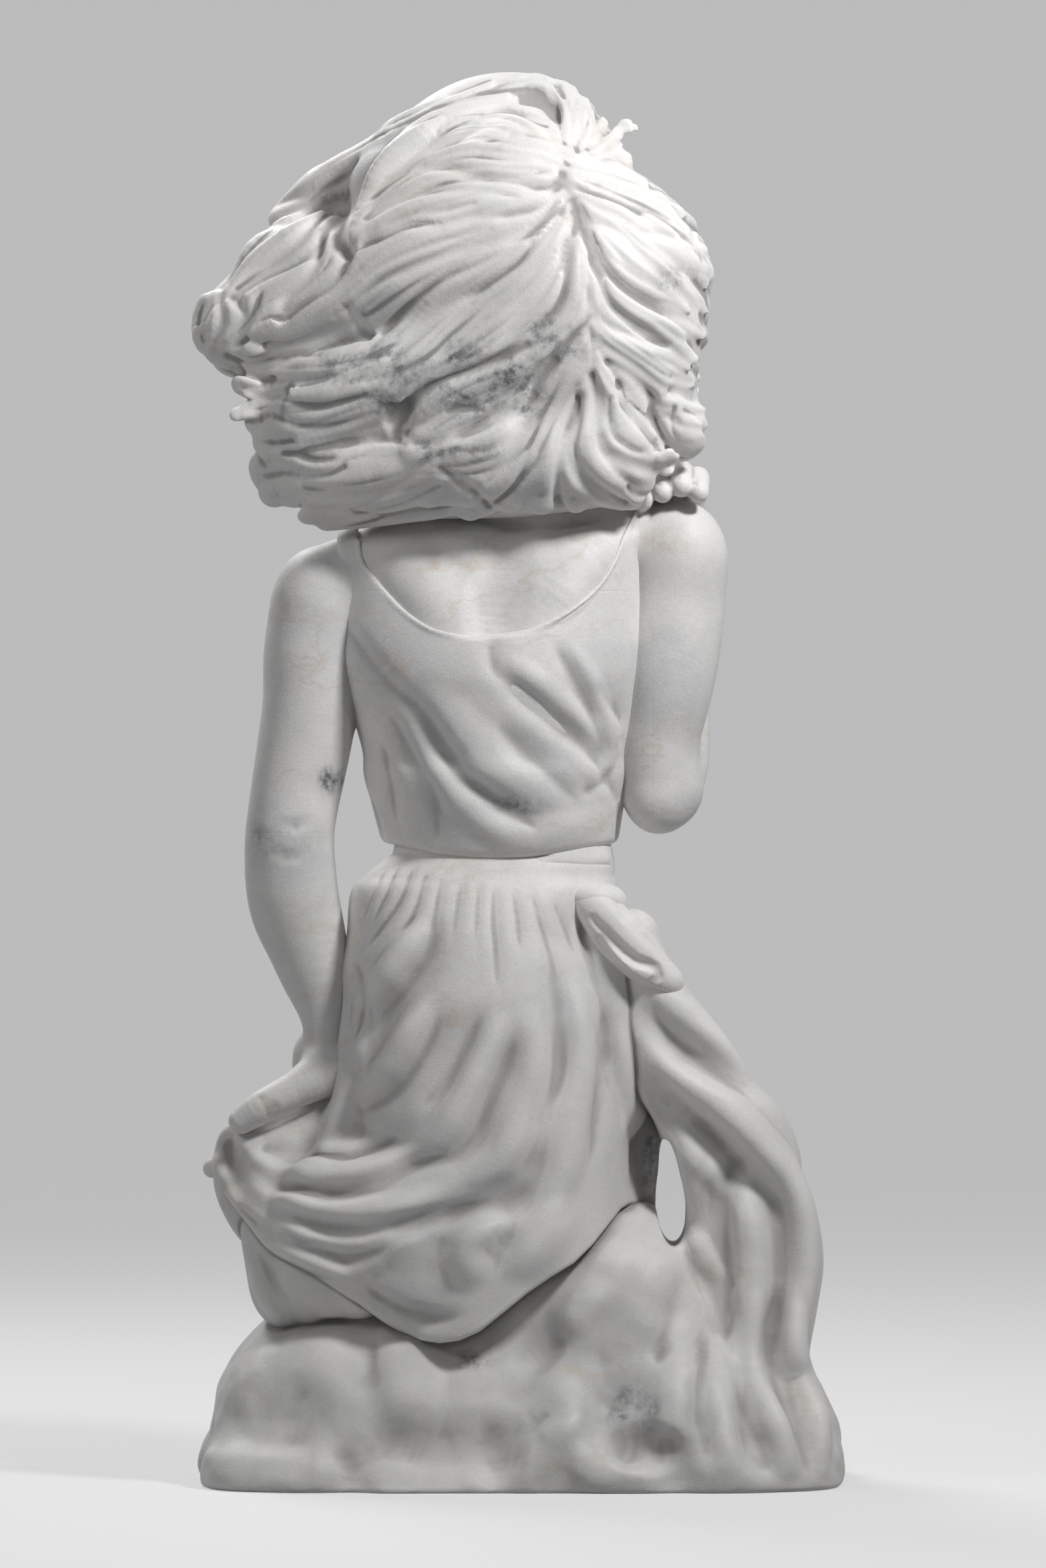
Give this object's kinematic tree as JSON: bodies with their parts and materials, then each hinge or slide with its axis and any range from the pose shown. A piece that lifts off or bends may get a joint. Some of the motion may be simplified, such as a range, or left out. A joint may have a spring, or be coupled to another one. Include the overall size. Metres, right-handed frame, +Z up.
{
  "type": "marble statuette",
  "caption": "Carved marble statuette of a woman seen walking against the wind, dress lifted in one hand, sash trailing, hair streaming, on a wave-worn rock.",
  "frame": {"origin": "middle of the rock's flat underside, under the middle of the whole figure's box", "axes": "+Z up, +Y the way the figure faces, +X towards the trailing sash"},
  "size_m": [0.4106, 0.2488, 0.8996],
  "materials": {
    "marble": "satin"
  },
  "bodies": {
    "root": {"rock": "marble", "trail_foot": "marble", "sash_trail": "marble", "sash_knot": "marble", "sash_loop": "marble", "waist_sash": "marble", "skirt_back": "marble", "skirt_front": "marble", "lifted_folds": "marble", "hem_turnback": "marble", "bodice": "marble", "left_strap": "marble", "right_strap": "marble", "shoulders": "marble", "neck": "marble", "head": "marble", "left_upper_arm": "marble", "left_forearm": "marble", "left_hand": "marble", "right_upper_arm": "marble", "right_forearm": "marble", "right_hand": "marble", "hair_crown": "marble", "hair_crest": "marble", "hair_upper_stream": "marble", "hair_middle_stream": "marble", "hair_lower_stream": "marble", "hair_windward_locks": "marble", "hair_nape_locks": "marble"}
  },
  "joints": []
}
